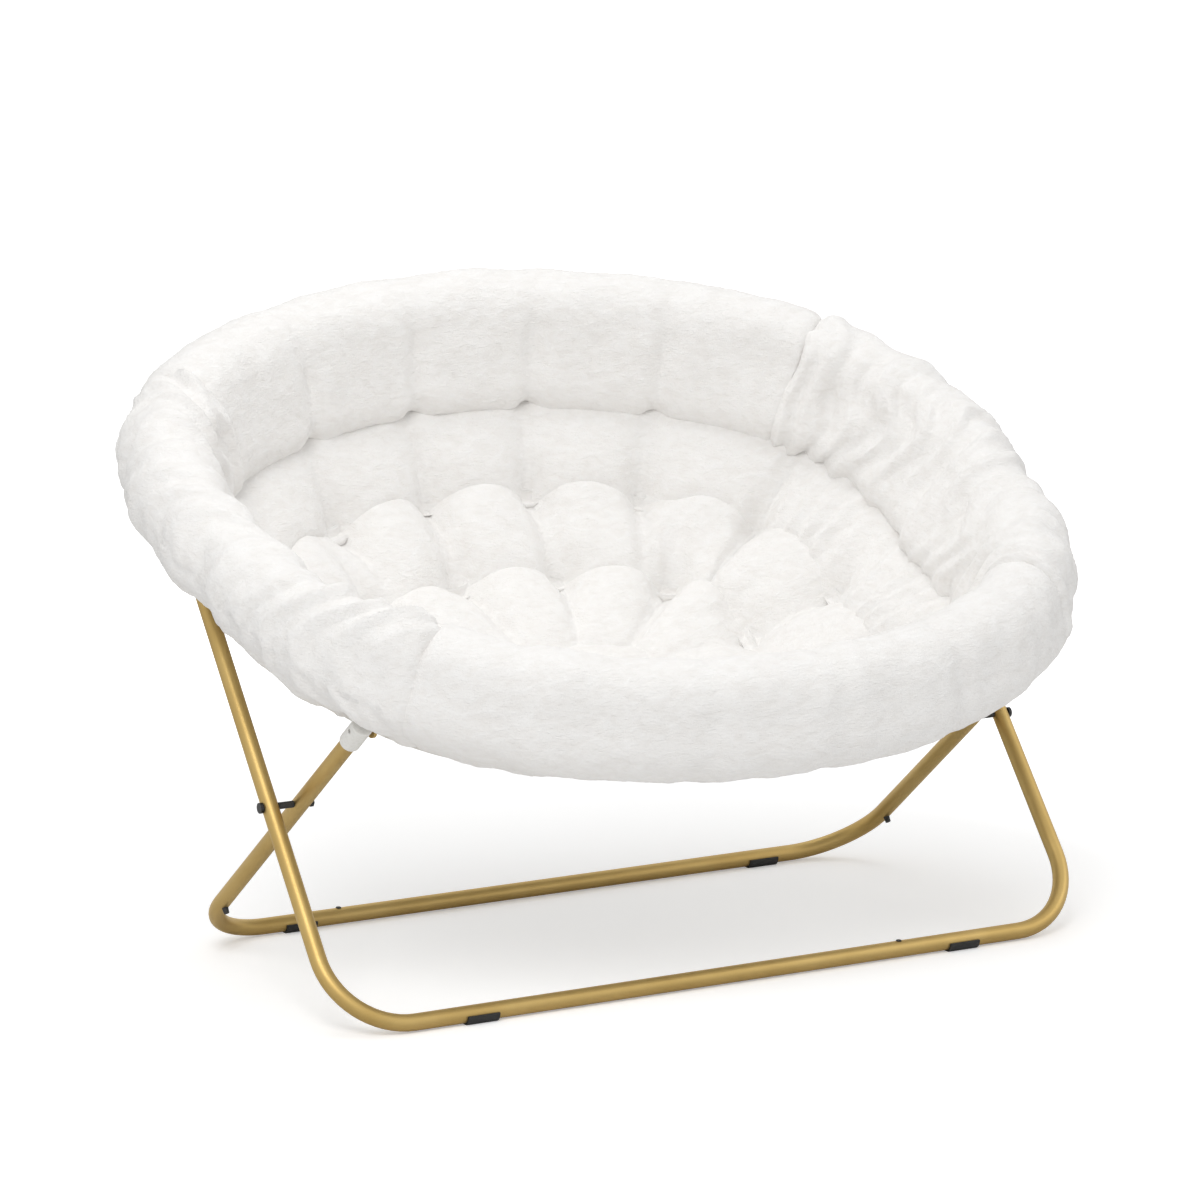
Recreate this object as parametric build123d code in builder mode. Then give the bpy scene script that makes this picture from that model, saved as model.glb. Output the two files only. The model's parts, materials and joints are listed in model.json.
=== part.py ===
"""Two-seat folding saucer chair: two crossing tube legs, a hinged oval rim and a tufted bowl cushion.

Millimetres, +Z up, +X to the sitter's left, the front of the seat towards -Y. The origin lies on the
floor, under the middle of the chair's own outline.
"""
from build123d import *
import os
from math import asin, atan2, cos, degrees, hypot, radians, sin, tan

os.makedirs("parts", exist_ok=True)

# ---------------------------------------------------------------- leg frames
TUBE_R = 11.0                 # all tube: 22 mm outside
TUBE_WALL = 1.5
BEND_R = 102.0                # bends between the floor bars and the uprights
FLOOR_LIFT = 1.5              # rubber under the floor bars
BAR_SPREAD = 513.6            # front floor bar to rear floor bar
CROSS_BACK = 201.4            # cross bolt, behind the front floor bar
CROSS_HEIGHT = 246.0          # cross bolt, above the floor bars
FRONT_HALF_LOW = 554.9        # half-width of the front legs, at the floor bar and at the top pivot
FRONT_HALF_TOP = 547.0
REAR_HALF_LOW = 512.6         # the same for the rear legs, which cross inside them
REAR_HALF_TOP = 505.5
FRONT_UPRIGHT = 738.5         # floor bar to top pivot, along the slope
REAR_UPRIGHT = 601.7
TUBE_PAST_PIVOT = 9.0         # bare tube beyond a top pivot

# ---------------------------------------------------------------- leg fittings
BOLT_R = 3.0
BOLT_HEAD_R = 7.0
BOLT_HEAD_T = 4.5
NUT_R = 6.5
NUT_T = 5.0
RUNNING_GAP = 0.08            # a bolt in a hole that turns on it
FACE_GAP = 0.3                # between faces that slide past each other
SPACER_R = 4.5                # sleeve between the crossing uprights
COLLAR_WALL = 3.0             # nylon collar round the top of each upright
COLLAR_BELOW = 32.0
COLLAR_ABOVE = 12.0
PAD_X = 360.0                 # floor pads: middle, length and wall
PAD_LENGTH = 45.0
PAD_WALL = 3.0
PAD_PEG_R = 3.0
PAD_PEG_LENGTH = 6.0
PLUG_DOME_R = 4.0             # small domed plug in each floor bar
PLUG_DOME_T = 1.2
FRONT_PLUG_X = 264.0
REAR_PLUG_X = -300.0
BUMPER_UP_LEG = 108.0         # rubber bumper under the rear uprights, from the floor bar
BUMPER_R = 5.0
BUMPER_T = 7.0

# ---------------------------------------------------------------- rim
RIM_BACK = 279.8              # rim's reference point, behind the front floor bar
RIM_HEIGHT = 561.0
RIM_TILT = 24.0
HINGE_S = -129.0              # side hinges, along the rim plane from the reference point
BACK_HALF = 577.0             # half-width, corner radius, corner angle and reach of each half rim
BACK_CORNER_R = 370.0
BACK_CORNER_DEG = 63.0
BACK_REACH = 520.0
FRONT_HALF = 560.0
FRONT_CORNER_R = 400.0
FRONT_CORNER_DEG = 66.0
FRONT_REACH = 474.0
RIM_PAST_HINGE = 14.0
HINGE_SPACER_R = 8.0
RIM_TUBE_IN = 62.0            # rim tubes inside the roll: in from the rim's line, and below its plane
RIM_TUBE_DROP = 45.0
TAB_T = 4.0                   # flat tabs, welded beside the rim tubes, that reach to the top pivots
TAB_R = 12.0
TAB_SEAT = 0.5                # a tab's face, let into the tube it is welded to
TAB_WELD_HALF = 12.0
BACK_TAB_S = 80.0             # middle of each weld, along the rim plane
FRONT_TAB_S = -164.0
TAB_OPEN_GAP = 1.5            # at the front tabs, beside the collar

# ---------------------------------------------------------------- cushion
ROLL_R = 61.0                 # padded roll round the rim tube
FRONT_ROLL_R = 57.0
FRONT_ROLL_RISE = 38.0        # the front roll stands taller
FRONT_ROLL_IN = 15.0
DRAPE_R = 42.0                # lower lip of the roll, inside the bowl
DRAPE_IN = 58.0
DRAPE_DOWN = 76.0
FRONT_DRAPE_R = 32.0          # the front roll's lip is smaller
SLEEVE_GAP = 0.4              # padding to the tube it wraps
SLOT_LENGTH = 190.0           # room in the side sleeves for the tops of the legs
SLOT_CLEAR = 1.5
SEAM_FRONT_DEG = 44.0         # seams of the gathered side sleeves, as angles round the rim corners
SEAM_BACK_DEG = 42.0
JOG_LENGTH = 100.0            # side sleeve's step from the front width to the back width
BOWL_DEPTH = 262.0            # rim plane to the seat's surface
PAD_T = 38.0                  # cushion thickness
CHANNEL = 16.0                # depth of the sewn channels between rows
CROWN = 10.0
UPPER_ROW_AT = 82.0           # rows of the cushion, measured in from the rim
LOWER_ROW_AT = 180.0
FLOOR_AT = 300.0
ROW_GAP = 0.6
HALF_GAP = 0.8                # between the cushion's folding halves
TUFT_PITCH = 160.0
TUFT_R = 30.0
TUFT_SINK = 12.0
FLOOR_CROWN_IN = 40.0         # the seat pad's crowned edge
FLOOR_ROW_DEPTH = 135.0       # between rows of tufts on the seat
CORNER_MARGIN = 8.0           # least corner radius left in the flat of the seat
SLING_T = 3.0
SLING_LAP = 1.0               # flat of the sling, lapped over its curved part
SLING_START = 62.0            # sling's upper edge, in from the rim

# ---------------------------------------------------------------- worked out from the sizes above
SIN_T = sin(radians(RIM_TILT))
COS_T = cos(radians(RIM_TILT))
BAR_Z = TUBE_R + FLOOR_LIFT
FRONT_LEAN = FRONT_ROLL_RISE * SIN_T - FRONT_ROLL_IN * COS_T
RIM_Y = -((BACK_REACH - FRONT_REACH) * COS_T + ROLL_R - FRONT_ROLL_R - FRONT_LEAN) / 2
FRONT_BAR_Y = RIM_Y - RIM_BACK
REAR_BAR_Y = FRONT_BAR_Y + BAR_SPREAD
CROSS_Y = FRONT_BAR_Y + CROSS_BACK
CROSS_Z = BAR_Z + CROSS_HEIGHT
COLLAR_R = TUBE_R + COLLAR_WALL

rim_plane = Plane(origin=(0, RIM_Y, RIM_HEIGHT), x_dir=(1, 0, 0), z_dir=(0, -SIN_T, COS_T))


def from_rim(s, h):
    """The side-view point (y, z) at a distance along the rim plane and a height above it."""
    return (RIM_Y + s * COS_T - h * SIN_T, RIM_HEIGHT + s * SIN_T + h * COS_T)


def rim_section(origin, heading):
    """Plane across a line round the rim, its local Y along the rim's normal."""
    normal = Vector(0, -SIN_T, COS_T)
    return Plane(origin=origin, x_dir=normal.cross(heading), z_dir=heading)


class Leg:
    """One U of tube: a floor bar and two sloping uprights, drawn in the sloping plane."""

    def __init__(self, bar_y, facing, half_low, half_top, upright):
        run = abs(CROSS_Y - bar_y)
        self.to_cross = hypot(run, CROSS_HEIGHT)
        self.up = (0, facing * run / self.to_cross, CROSS_HEIGHT / self.to_cross)
        self.plane = Plane(origin=(0, bar_y, BAR_Z), x_dir=(1, 0, 0), z_dir=self.normal())
        self.bar_y = bar_y
        self.half_low = half_low
        self.half_top = half_top
        self.upright = upright

    def normal(self):
        return (0, -self.up[2], self.up[1])

    def half_at(self, along):
        return self.half_low + (self.half_top - self.half_low) * along / self.upright

    def side(self, along):
        """The side-view point (y, z) at a distance up the slope."""
        return (self.bar_y + along * self.up[1], BAR_Z + along * self.up[2])

    def point(self, side, along):
        return (side * self.half_at(along), *self.side(along))

    def direction(self, side):
        lean = (self.half_top - self.half_low) / self.upright
        return (side * lean, self.up[1], self.up[2])


class HalfRim:
    """Half of the rim's centre line: side run, corner arc and end arc, and the same mirrored."""

    def __init__(self, half, corner_r, corner_deg, reach, facing, level=0.0):
        turn = radians(corner_deg)
        self.half = half
        self.corner_r = corner_r
        self.corner_deg = corner_deg
        self.reach = reach
        self.facing = facing
        self.level = level
        self.end_r = (half - corner_r * (1 - cos(turn))) / cos(turn)
        self.side_run = reach - corner_r * sin(turn) - self.end_r * (1 - sin(turn))

    def turn_at(self, s):
        """How far the line has turned, in degrees, at a distance s from the reference point."""
        return degrees(asin(max(0.0, (s * self.facing - self.side_run) / self.corner_r)))

    def half_at(self, s):
        return self.half - self.corner_r * (1 - cos(radians(self.turn_at(s))))

    def corner_point(self, turn_deg, inset=0.0):
        turn = radians(turn_deg)
        radius = self.corner_r - inset
        return (self.half - inset - radius * (1 - cos(turn)),
                self.facing * (self.side_run + radius * sin(turn)))

    def heading(self, turn_deg):
        turn = radians(turn_deg)
        return (-sin(turn), self.facing * cos(turn))

    def line(self, start_s=0.0, inset=0.0, height=0.0, from_deg=0.0):
        """The half rim moved inwards by inset and up by height.

        It starts at s = start_s on the right-hand side run, or part of the way round the corner.
        """
        corner_turn = self.facing * (self.corner_deg - from_deg)
        end_turn = self.facing * 2 * (90 - self.corner_deg)
        side_x = self.half - inset
        side_s = self.facing * self.side_run
        with BuildLine(rim_plane.offset(self.level + height)) as drawn:
            if from_deg == 0:
                Line((side_x, start_s), (side_x, side_s))
            first = self.corner_point(from_deg, inset)
            JernArc(first, self.heading(from_deg), self.corner_r - inset, corner_turn)
            x, s = self.corner_point(self.corner_deg, inset)
            across_x, along_s = self.heading(self.corner_deg)
            JernArc((x, s), (across_x, along_s), self.end_r - inset, end_turn)
            JernArc((-x, s), (across_x, -along_s), self.corner_r - inset, corner_turn)
            if from_deg == 0:
                Line((-side_x, side_s), (-side_x, start_s))
        return drawn.line

    def shape(self, start_s, inset, height):
        """The flat shape inside the half rim, closed across the chair at s = start_s."""
        plane = rim_plane.offset(self.level + height)
        ends = [plane.from_local_coords((side * (self.half - inset), start_s, 0)) for side in (-1, 1)]
        return Face(Wire([*self.line(start_s, inset, height).edges(), Edge.make_line(*ends)]))

    def section(self, start_s=0.0, from_deg=0.0):
        """Plane across the start of the line: local X inwards for a back rim, Y along its normal."""
        x, corner_s = self.corner_point(from_deg)
        s = corner_s if from_deg else start_s
        across_x, along_s = self.heading(from_deg)
        heading = Vector(across_x, along_s * COS_T, along_s * SIN_T)
        return rim_section(Vector(x, *from_rim(s, self.level)), heading)

    def tube(self):
        """The line of the bent tube that lies inside this half rim's roll."""
        return HalfRim(self.half - RIM_TUBE_IN, self.corner_r - RIM_TUBE_IN, self.corner_deg,
                       self.reach - RIM_TUBE_IN, self.facing, -RIM_TUBE_DROP)


front_leg = Leg(FRONT_BAR_Y, 1, FRONT_HALF_LOW, FRONT_HALF_TOP, FRONT_UPRIGHT)
rear_leg = Leg(REAR_BAR_Y, -1, REAR_HALF_LOW, REAR_HALF_TOP, REAR_UPRIGHT)
back_rim = HalfRim(BACK_HALF, BACK_CORNER_R, BACK_CORNER_DEG, BACK_REACH, 1)
front_rim = HalfRim(FRONT_HALF, FRONT_CORNER_R, FRONT_CORNER_DEG, FRONT_REACH, -1)
back_tube = back_rim.tube()
front_tube = front_rim.tube()

BACK_PIVOT = front_leg.side(FRONT_UPRIGHT)
FRONT_PIVOT = rear_leg.side(REAR_UPRIGHT)
HINGE = from_rim(HINGE_S, -RIM_TUBE_DROP)

HALF_SPAN = (BACK_REACH + FRONT_REACH) / 2
BOWL_R = (HALF_SPAN ** 2 + BOWL_DEPTH ** 2) / (2 * BOWL_DEPTH)


def bowl_point(inset, sink):
    """(inset, height) of a point on the bowl's curve, sunk below the seat's surface along its radius."""
    angle = asin((HALF_SPAN - inset) / BOWL_R)
    radius = BOWL_R + sink
    return (HALF_SPAN - radius * sin(angle), BOWL_R - BOWL_DEPTH - radius * cos(angle))


def save(piece, name):
    piece.part.label = name
    export_step(piece.part, f"parts/{name}.step")


def across(x, pivot):
    """A plane facing +X, at a side-view point."""
    return Plane(origin=(x, *pivot), x_dir=(0, 1, 0), z_dir=(1, 0, 0))


def rod(x0, x1, pivot, radius, mode=Mode.ADD):
    """A round bar along X, from x0 to x1, joined to the part being built."""
    with BuildSketch(across(min(x0, x1), pivot)) as disc:
        Circle(radius)
    extrude(disc.sketch, amount=abs(x1 - x0), mode=mode)


# ---------------------------------------------------------------- leg frames
def make_leg_tube(leg, name, pad_y, top_pivot, plug_x):
    """One bent tube, drilled for its bolts, its pad pegs and its plug."""
    end = leg.upright + TUBE_PAST_PIVOT
    with BuildPart() as tube:
        with BuildLine(leg.plane) as bent:
            FilletPolyline(
                (-leg.half_at(end), end),
                (-leg.half_low, 0),
                (leg.half_low, 0),
                (leg.half_at(end), end),
                radius=BEND_R,
            )
        with BuildSketch(Plane(origin=bent.line @ 0, z_dir=bent.line % 0)):
            Circle(TUBE_R)
            Circle(TUBE_R - TUBE_WALL, mode=Mode.SUBTRACT)
        sweep(path=bent.line)
        reach = leg.half_low + TUBE_R
        rod(-reach, reach, (CROSS_Y, CROSS_Z), BOLT_R + RUNNING_GAP, Mode.SUBTRACT)
        rod(-reach, reach, top_pivot, BOLT_R + RUNNING_GAP, Mode.SUBTRACT)
        with BuildSketch(Plane.XY):
            with Locations((-PAD_X, pad_y), (PAD_X, pad_y)):
                Circle(PAD_PEG_R + RUNNING_GAP)
        extrude(amount=BAR_Z, mode=Mode.SUBTRACT)
        with BuildSketch(Plane.XY.offset(BAR_Z)):
            with Locations((plug_x, pad_y)):
                Circle(PLUG_DOME_R / 2)
        extrude(amount=TUBE_R, mode=Mode.SUBTRACT)
    save(tube, name)


make_leg_tube(front_leg, "front_leg_tube", FRONT_BAR_Y, BACK_PIVOT, FRONT_PLUG_X)
make_leg_tube(rear_leg, "rear_leg_tube", REAR_BAR_Y, FRONT_PIVOT, REAR_PLUG_X)


def make_floor_pads(name, bar_y):
    """Rubber saddles clipped under a floor bar, each with a peg in the tube and a flat sole."""
    with BuildPart() as pads:
        for middle in (-PAD_X, PAD_X):
            with BuildSketch(across(middle - PAD_LENGTH / 2, (bar_y, BAR_Z))):
                Circle(TUBE_R + PAD_WALL)
                Circle(TUBE_R, mode=Mode.SUBTRACT)
                with Locations((0, TUBE_R)):
                    Rectangle(4 * TUBE_R, 2 * TUBE_R, mode=Mode.SUBTRACT)
                with Locations((0, -BAR_Z - TUBE_R)):
                    Rectangle(4 * TUBE_R, 2 * TUBE_R, mode=Mode.SUBTRACT)
            extrude(amount=PAD_LENGTH)
            with BuildSketch(Plane(origin=(middle, bar_y, 0))):
                Circle(PAD_PEG_R)
            extrude(amount=FLOOR_LIFT + PAD_PEG_LENGTH)
    save(pads, name)


make_floor_pads("front_floor_pads", FRONT_BAR_Y)
make_floor_pads("rear_floor_pads", REAR_BAR_Y)


def make_bar_plug(name, x, bar_y):
    """Small domed plug in the top of a floor bar."""
    with BuildPart() as plug:
        with BuildSketch(Plane(origin=(x, bar_y, BAR_Z + TUBE_R - TUBE_WALL))):
            Circle(PLUG_DOME_R / 2 - RUNNING_GAP)
        extrude(amount=TUBE_WALL + PLUG_DOME_T / 2)
        with BuildSketch(Plane(origin=(x, bar_y, BAR_Z + TUBE_R))):
            Circle(PLUG_DOME_R)
        extrude(amount=PLUG_DOME_T, taper=30)
    save(plug, name)


make_bar_plug("front_bar_plug", FRONT_PLUG_X, FRONT_BAR_Y)
make_bar_plug("rear_bar_plug", REAR_PLUG_X, REAR_BAR_Y)


def make_collars(leg, name, pivot):
    """Nylon collars that cap the uprights and carry the rim's pivots."""
    with BuildPart() as collars:
        for side in (-1, 1):
            foot = leg.point(side, leg.upright - COLLAR_BELOW)
            with BuildSketch(Plane(origin=foot, x_dir=(1, 0, 0), z_dir=leg.direction(side))):
                Circle(COLLAR_R)
            extrude(amount=COLLAR_BELOW + COLLAR_ABOVE)
            with BuildSketch(Plane(origin=foot, x_dir=(1, 0, 0), z_dir=leg.direction(side))):
                Circle(TUBE_R + RUNNING_GAP)
            extrude(amount=COLLAR_BELOW + TUBE_PAST_PIVOT + RUNNING_GAP, mode=Mode.SUBTRACT)
        reach = leg.half_top + 2 * COLLAR_R
        rod(-reach, reach, pivot, BOLT_R + RUNNING_GAP, Mode.SUBTRACT)
        ends = collars.faces().filter_by(GeomType.PLANE).sort_by(Axis.Z)[-2:]
        fillet(ends.edges().filter_by(GeomType.CIRCLE), COLLAR_WALL / 2)
    save(collars, name)


make_collars(front_leg, "back_pivot_collars", BACK_PIVOT)
make_collars(rear_leg, "front_pivot_collars", FRONT_PIVOT)

# ---------------------------------------------------------------- cross bolts
CROSS_OUT = front_leg.half_at(front_leg.to_cross) + TUBE_R
CROSS_MID_OUT = front_leg.half_at(front_leg.to_cross) - TUBE_R
CROSS_MID_IN = rear_leg.half_at(rear_leg.to_cross) + TUBE_R
CROSS_IN = rear_leg.half_at(rear_leg.to_cross) - TUBE_R
CROSS = (CROSS_Y, CROSS_Z)

with BuildPart() as cross_bolts:
    for side in (-1, 1):
        rod(side * (CROSS_OUT + FACE_GAP), side * (CROSS_OUT + BOLT_HEAD_T), CROSS, BOLT_HEAD_R)
        rod(side * (CROSS_IN - NUT_T), side * (CROSS_OUT + BOLT_HEAD_T), CROSS, BOLT_R)
save(cross_bolts, "cross_bolts")

with BuildPart() as cross_nuts:
    for side in (-1, 1):
        with BuildSketch(across(side * (CROSS_IN - FACE_GAP - NUT_T / 2) - NUT_T / 2, CROSS)):
            RegularPolygon(NUT_R, 6)
            Circle(BOLT_R, mode=Mode.SUBTRACT)
        extrude(amount=NUT_T)
save(cross_nuts, "cross_nuts")

with BuildPart() as cross_spacers:
    for side in (-1, 1):
        rod(side * (CROSS_MID_IN + FACE_GAP), side * (CROSS_MID_OUT - FACE_GAP), CROSS, SPACER_R)
        rod(side * CROSS_MID_IN, side * CROSS_MID_OUT, CROSS, BOLT_R + RUNNING_GAP, Mode.SUBTRACT)
save(cross_spacers, "cross_spacers")

# ---------------------------------------------------------------- rubber bumpers under the rear uprights
with BuildPart() as bumpers:
    for side in (-1, 1):
        low = rear_leg.point(side, BUMPER_UP_LEG)
        down = (0, -rear_leg.up[2], rear_leg.up[1])
        with BuildSketch(Plane(origin=low, x_dir=(1, 0, 0), z_dir=down)):
            Circle(BUMPER_R)
        extrude(amount=TUBE_R + BUMPER_T, taper=4)
        lean = rear_leg.direction(side)
        with BuildSketch(Plane(origin=low, x_dir=(1, 0, 0), z_dir=lean)):
            Circle(TUBE_R)
        extrude(amount=2 * BUMPER_R, both=True, mode=Mode.SUBTRACT)
save(bumpers, "rear_leg_bumpers")

# ---------------------------------------------------------------- rim tubes
with BuildPart() as back_rim_tube:
    with BuildSketch(back_tube.section(HINGE_S - RIM_PAST_HINGE)):
        Circle(TUBE_R)
        Circle(TUBE_R - TUBE_WALL, mode=Mode.SUBTRACT)
    sweep(path=back_tube.line(HINGE_S - RIM_PAST_HINGE))
    rod(-back_tube.half - TUBE_R, back_tube.half + TUBE_R, HINGE, BOLT_R, Mode.SUBTRACT)
save(back_rim_tube, "back_rim_tube")

split_front = Plane(origin=(0, *from_rim(HINGE_S + RIM_PAST_HINGE, 0)), z_dir=(0, -COS_T, -SIN_T))
with BuildPart() as front_rim_tube:
    with BuildSketch(front_tube.section(0)):
        Circle(TUBE_R)
        Circle(TUBE_R - TUBE_WALL, mode=Mode.SUBTRACT)
    sweep(path=front_tube.line(0))
    split(bisect_by=split_front, keep=Keep.TOP)
    rod(-front_tube.half - TUBE_R, front_tube.half + TUBE_R, HINGE, BOLT_R + RUNNING_GAP, Mode.SUBTRACT)
save(front_rim_tube, "front_rim_tube")

# The front tube meets the hinge at a slant, so its fittings stand off by their radius times the slope.
HINGE_TURN = radians(front_tube.turn_at(HINGE_S))
HINGE_WALL = TUBE_R / cos(HINGE_TURN)
HINGE_OUT = back_tube.half + TUBE_R
HINGE_MID_OUT = back_tube.half - TUBE_R
HINGE_MID_IN = front_tube.half_at(HINGE_S) + HINGE_WALL + HINGE_SPACER_R * tan(HINGE_TURN)
HINGE_IN = front_tube.half_at(HINGE_S) - HINGE_WALL - NUT_R * tan(HINGE_TURN)

with BuildPart() as hinge_bolts:
    for side in (-1, 1):
        rod(side * (HINGE_OUT + FACE_GAP), side * (HINGE_OUT + BOLT_HEAD_T), HINGE, BOLT_HEAD_R)
        rod(side * (HINGE_IN - NUT_T), side * (HINGE_OUT + BOLT_HEAD_T), HINGE, BOLT_R)
save(hinge_bolts, "rim_hinge_bolts")

with BuildPart() as hinge_nuts:
    for side in (-1, 1):
        with BuildSketch(across(side * (HINGE_IN - FACE_GAP - NUT_T / 2) - NUT_T / 2, HINGE)):
            RegularPolygon(NUT_R, 6)
            Circle(BOLT_R, mode=Mode.SUBTRACT)
        extrude(amount=NUT_T)
save(hinge_nuts, "rim_hinge_nuts")

with BuildPart() as hinge_spacers:
    for side in (-1, 1):
        rod(side * (HINGE_MID_IN + FACE_GAP), side * HINGE_MID_OUT, HINGE, HINGE_SPACER_R)
        rod(side * HINGE_MID_IN, side * HINGE_MID_OUT, HINGE, BOLT_R, Mode.SUBTRACT)
save(hinge_spacers, "rim_hinge_spacers")


# ---------------------------------------------------------------- welded tabs and top pivots
def tab_outline(pivot, weld_s, grow=0.0):
    """Side view of a tab: round at the pivot, straight along its weld to the rim tube."""
    weld_y, weld_z = from_rim(weld_s, -RIM_TUBE_DROP)
    with Locations(pivot):
        Circle(TAB_R + grow)
    with Locations(Location((weld_y, weld_z, 0), (0, 0, RIM_TILT))):
        Rectangle(2 * (TAB_WELD_HALF + grow), 2 * (TUBE_R + grow))
    make_hull()


def make_tabs(name, tube, start_s, pivot, weld_s, inner_x):
    """Flat tabs that reach from beside a rim tube to a top pivot."""
    with BuildPart() as tabs:
        for side in (-1, 1):
            start = min(side * inner_x, side * (inner_x + TAB_T))
            with BuildSketch(across(start, (0, 0))):
                tab_outline(pivot, weld_s)
                with Locations(pivot):
                    Circle(BOLT_R + RUNNING_GAP, mode=Mode.SUBTRACT)
            extrude(amount=TAB_T)
        with BuildSketch(tube.section(start_s)):
            Circle(TUBE_R)
        sweep(path=tube.line(start_s), mode=Mode.SUBTRACT)
    save(tabs, name)


BACK_TAB_X = back_tube.half + TUBE_R - TAB_SEAT
FRONT_TAB_X = REAR_HALF_TOP - COLLAR_R - TAB_OPEN_GAP - TAB_T

make_tabs("back_rim_tabs", back_tube, HINGE_S, BACK_PIVOT, BACK_TAB_S, BACK_TAB_X)
make_tabs("front_rim_tabs", front_tube, 0, FRONT_PIVOT, FRONT_TAB_S, FRONT_TAB_X)

# The back tabs lie inside the front legs, so the bolts run out through the collars.
BACK_PIVOT_IN = BACK_TAB_X
BACK_PIVOT_OUT = FRONT_HALF_TOP + COLLAR_R
with BuildPart() as back_pivot_bolts:
    for side in (-1, 1):
        head_end = side * (BACK_PIVOT_OUT + BOLT_HEAD_T)
        rod(side * (BACK_PIVOT_OUT + FACE_GAP), head_end, BACK_PIVOT, BOLT_HEAD_R)
        rod(side * (BACK_PIVOT_IN - NUT_T), head_end, BACK_PIVOT, BOLT_R)
save(back_pivot_bolts, "back_pivot_bolts")

with BuildPart() as back_pivot_nuts:
    for side in (-1, 1):
        with BuildSketch(across(side * (BACK_PIVOT_IN - FACE_GAP - NUT_T / 2) - NUT_T / 2, BACK_PIVOT)):
            RegularPolygon(NUT_R, 6)
            Circle(BOLT_R, mode=Mode.SUBTRACT)
        extrude(amount=NUT_T)
save(back_pivot_nuts, "back_pivot_nuts")

with BuildPart() as front_pivot_bolts:
    for side in (-1, 1):
        head = FRONT_TAB_X - FACE_GAP
        rod(side * (head - BOLT_HEAD_T), side * head, FRONT_PIVOT, BOLT_HEAD_R)
        rod(side * (head - BOLT_HEAD_T), side * (FRONT_TAB_X + TAB_T + FACE_GAP), FRONT_PIVOT, BOLT_R)
save(front_pivot_bolts, "front_pivot_bolts")


# ---------------------------------------------------------------- padded roll round the rim
def roll_outline(rim, roll_r, lip_r, inward=0.0, rise=0.0, grow=0.0):
    """Section of the padded roll: round outside, with a lower lip inside the bowl round the tube."""
    Circle(roll_r + grow)
    if rise:
        with Locations((inward * rim.facing, rise)):
            Circle(roll_r + grow)
    with Locations((DRAPE_IN * rim.facing, -DRAPE_DOWN)):
        Circle(lip_r + grow)
    make_hull()


BACK_ROLL = (ROLL_R, DRAPE_R)
FRONT_ROLL = (FRONT_ROLL_R, FRONT_DRAPE_R, FRONT_ROLL_IN, FRONT_ROLL_RISE)


def roll_room(rim, roll):
    """The roll's section grown by a gap, to be cut from what lies under it."""
    with BuildSketch() as room:
        roll_outline(rim, *roll, grow=ROW_GAP)
    return room.sketch


def make_roll(name, rim, seam_deg, size):
    """The smooth stretch of padded roll between the two sleeve seams, bored for the rim tube."""
    with BuildPart() as roll:
        with BuildSketch(rim.section(from_deg=seam_deg)):
            roll_outline(rim, *size)
            with Locations((RIM_TUBE_IN * rim.facing, -RIM_TUBE_DROP)):
                Circle(TUBE_R + SLEEVE_GAP, mode=Mode.SUBTRACT)
        sweep(path=rim.line(from_deg=seam_deg))
    save(roll, name)


make_roll("rim_roll_back", back_rim, SEAM_BACK_DEG, BACK_ROLL)
make_roll("rim_roll_front", front_rim, SEAM_FRONT_DEG, FRONT_ROLL)


def sleeve_line():
    """Centre line of the right-hand side sleeve, from the front seam to the back seam."""
    half_jog = JOG_LENGTH / 2
    jog_turn = 2 * degrees(atan2((BACK_HALF - FRONT_HALF) / 2, half_jog))
    jog_r = half_jog / sin(radians(abs(jog_turn)))
    across_x, along_s = front_rim.heading(SEAM_FRONT_DEG)
    with BuildLine(rim_plane) as drawn:
        seam = front_rim.corner_point(SEAM_FRONT_DEG)
        JernArc(seam, (-across_x, -along_s), FRONT_CORNER_R, SEAM_FRONT_DEG)
        JernArc((FRONT_HALF, -front_rim.side_run), (0, 1), jog_r, -jog_turn)
        middle = ((FRONT_HALF + BACK_HALF) / 2, half_jog - front_rim.side_run)
        slant = (sin(radians(jog_turn)), cos(radians(jog_turn)))
        JernArc(middle, slant, jog_r, jog_turn)
        Line((BACK_HALF, JOG_LENGTH - front_rim.side_run), (BACK_HALF, back_rim.side_run))
        JernArc((BACK_HALF, back_rim.side_run), (0, 1), BACK_CORNER_R, SEAM_BACK_DEG)
    return drawn.line


def cut_leg_slot(leg):
    """Room in a sleeve for the top of an upright and its collar, open downwards."""
    foot = leg.point(1, leg.upright - SLOT_LENGTH)
    down = 1 if leg.up[1] > 0 else -1
    with BuildSketch(Plane(origin=foot, x_dir=(1, 0, 0), z_dir=leg.direction(1))) as slot:
        Circle(COLLAR_R + SLOT_CLEAR)
        with Locations((0, down * SLOT_LENGTH / 2)):
            Rectangle(2 * (COLLAR_R + SLOT_CLEAR), SLOT_LENGTH)
    extrude(slot.sketch, amount=SLOT_LENGTH + COLLAR_ABOVE + SLOT_CLEAR, mode=Mode.SUBTRACT)


def cut_tube_channel(tube, start_s):
    """A bore in a sleeve for the rim tube that it wraps."""
    with BuildSketch(tube.section(start_s)) as bore:
        Circle(TUBE_R + SLEEVE_GAP)
    sweep(bore.sketch, path=tube.line(start_s), mode=Mode.SUBTRACT)


def cut_tab_slot(pivot, weld_s, tab_x, bolt_in, bolt_out):
    """Room in a sleeve for a tab, and for the bolt through it from bolt_in to bolt_out."""
    rod(bolt_in - SLOT_CLEAR, bolt_out + SLOT_CLEAR, pivot, BOLT_HEAD_R + SLOT_CLEAR, Mode.SUBTRACT)
    with BuildSketch(across(tab_x - SLOT_CLEAR, (0, 0))) as slot:
        tab_outline(pivot, weld_s, SLOT_CLEAR)
    extrude(slot.sketch, amount=TAB_T + 2 * SLOT_CLEAR, mode=Mode.SUBTRACT)


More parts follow.
